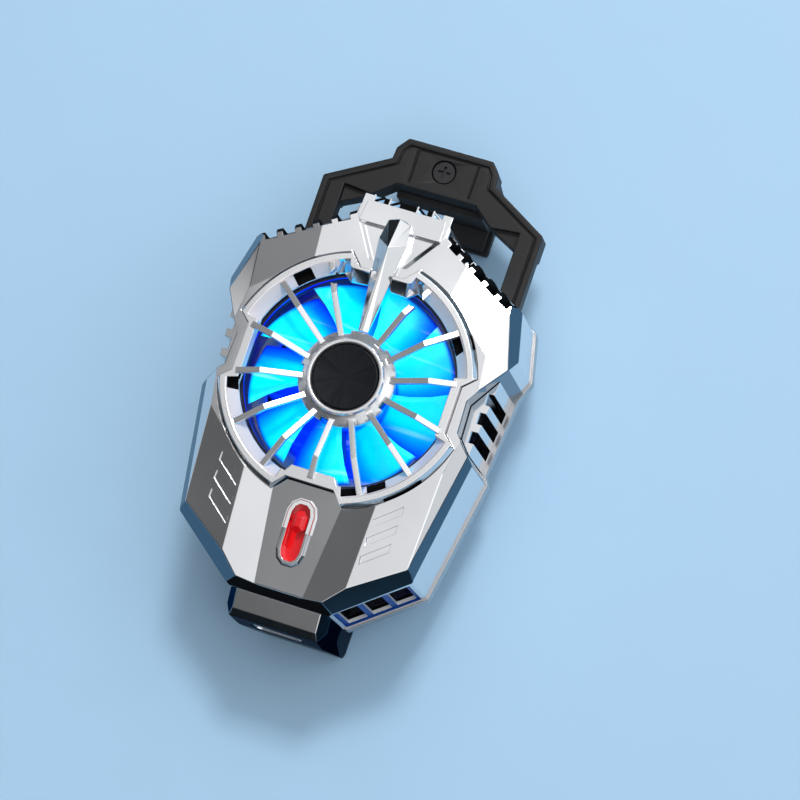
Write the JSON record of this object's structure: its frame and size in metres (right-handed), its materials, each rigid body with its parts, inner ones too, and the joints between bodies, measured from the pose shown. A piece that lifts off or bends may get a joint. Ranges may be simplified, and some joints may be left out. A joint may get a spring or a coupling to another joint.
{
  "type": "phone cooling fan",
  "caption": "Clamp-on phone cooler: faceted silver shell with a guarded lit fan over a cold pad, a sprung sliding clamp, a fixed jaw and a slide switch.",
  "frame": {"origin": "on the fan axis, at the face of the cold pad that lies on the phone's back", "axes": "+Z along the fan axis out of the guard; +Y toward the sliding clamp; X across, with the same shape on both sides"},
  "size_m": [0.0528, 0.0897, 0.0354],
  "materials": {
    "silver_shell": "electroplated silver, polished",
    "silver_trim": "electroplated silver, polished",
    "black_plastic": "fine-grained black",
    "black_disc": "spun black metal",
    "black_silicone": "matte black silicone",
    "pad_silicone": "grey thermal silicone",
    "cold_metal": "plain milled",
    "module_ceramic": "white ceramic",
    "sink_metal": "skived fins",
    "fan_black": "moulded black",
    "core_steel": "laminated steel",
    "coil_wire": "enamelled copper wire",
    "bearing_brass": "sintered bronze",
    "board_green": "coated circuit board",
    "blue_guide": "blue light guide",
    "screw_steel": "black oxide",
    "inlet_steel": "drawn steel",
    "spring_steel": "spring steel",
    "bezel_white": "bright plated",
    "red_plastic": "glossy red",
    "blade_clear": "tinted clear plastic, lit from below"
  },
  "bodies": {
    "housing": {"rear_plate": "black_plastic", "top_shell": "silver_shell", "side_vent_left": "silver_shell", "side_vent_right": "silver_shell", "crest_plate": "silver_trim", "pointer_blade": "silver_trim", "fan_guard": "silver_trim", "hub_cap": "black_disc", "thermal_pad": "pad_silicone", "cold_plate": "cold_metal", "peltier_module": "module_ceramic", "heat_sink": "sink_metal", "fan_frame": "fan_black", "stator_core": "core_steel", "stator_coils": "coil_wire", "bearing_sleeve": "bearing_brass", "led_board": "board_green", "light_guide": "blue_guide", "frame_screws": "screw_steel", "control_board": "board_green", "usb_socket": "inlet_steel", "switch_body": "fan_black", "switch_bezel": "bezel_white", "switch_tray": "red_plastic", "lower_jaw": "silver_shell", "lower_jaw_pad": "black_silicone", "case_screws": "screw_steel", "clamp_spring_left": "spring_steel", "clamp_spring_right": "spring_steel"},
    "rotor": {"fan_impeller": "blade_clear", "magnet_ring": "core_steel", "rotor_shaft": "spring_steel"},
    "clamp": {"clamp_frame": "black_plastic", "clamp_hook": "black_plastic", "clamp_pad": "black_silicone", "clamp_screw": "screw_steel"},
    "switch": {"switch_knob": "red_plastic"}
  },
  "joints": [
    {"name": "fan_spin", "type": "hinge", "parent": "housing", "child": "rotor", "pos_m": [0, 0, 0.017], "axis": [0, 0, 1], "continuous": true},
    {"name": "clamp_slide", "type": "slide", "parent": "housing", "child": "clamp", "axis": [0, 1, 0], "range_m": [-0.007, 0.013], "stiffness_N_per_m": 250, "deforming": ["clamp_spring_left", "clamp_spring_right"]},
    {"name": "switch_slide", "type": "slide", "parent": "housing", "child": "switch", "axis": [0, 0.992, 0.126], "range_m": [-0.0042, 0]}
  ]
}
